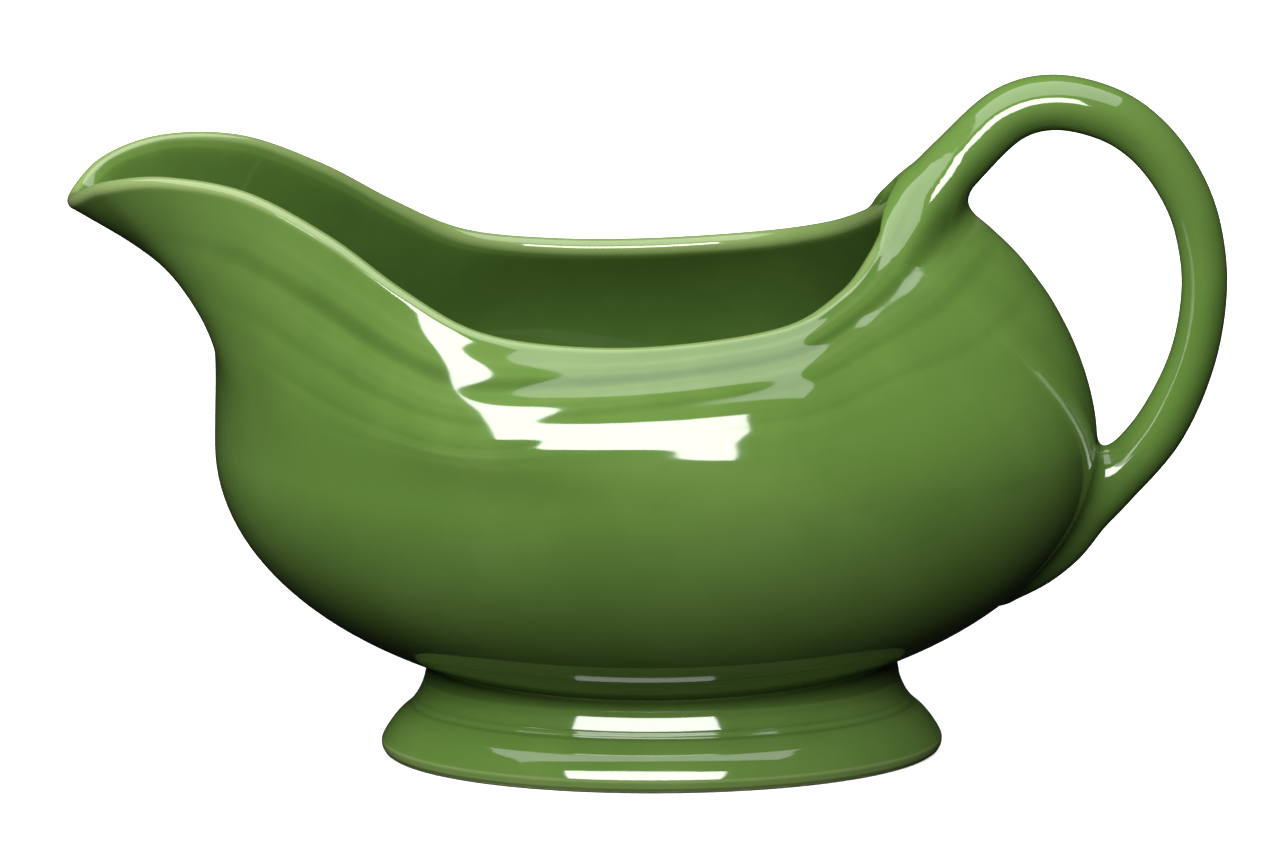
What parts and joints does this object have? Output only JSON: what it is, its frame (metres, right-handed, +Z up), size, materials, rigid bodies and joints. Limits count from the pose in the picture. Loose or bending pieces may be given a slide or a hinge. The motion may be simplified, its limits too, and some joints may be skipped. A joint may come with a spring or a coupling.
{
  "type": "gravy boat",
  "caption": "Footed oval gravy boat with a swept pouring spout, soft turned rings below the rim and a loop handle rising behind.",
  "frame": {"origin": "on the table plane, under the middle of the overall length, in the mirror plane", "axes": "+Z up, spout towards -X, handle towards +X, Y = 0 is the mirror plane"},
  "size_m": [0.2035, 0.1124, 0.1208],
  "materials": {
    "olive_glaze": "high gloss transparent olive green glaze, lighter where it thins over ridges and the rim",
    "foot_glaze": "the same glaze, stopping at a bare clay ring underneath",
    "handle_glaze": "the same glaze",
    "fired_slip": "matte fired joining slip, hidden inside the joints"
  },
  "bodies": {
    "root": {"bowl": "olive_glaze", "foot": "foot_glaze", "handle": "handle_glaze", "foot_joint_slip": "fired_slip", "handle_top_joint_slip": "fired_slip", "handle_tail_joint_slip": "fired_slip"}
  },
  "joints": []
}
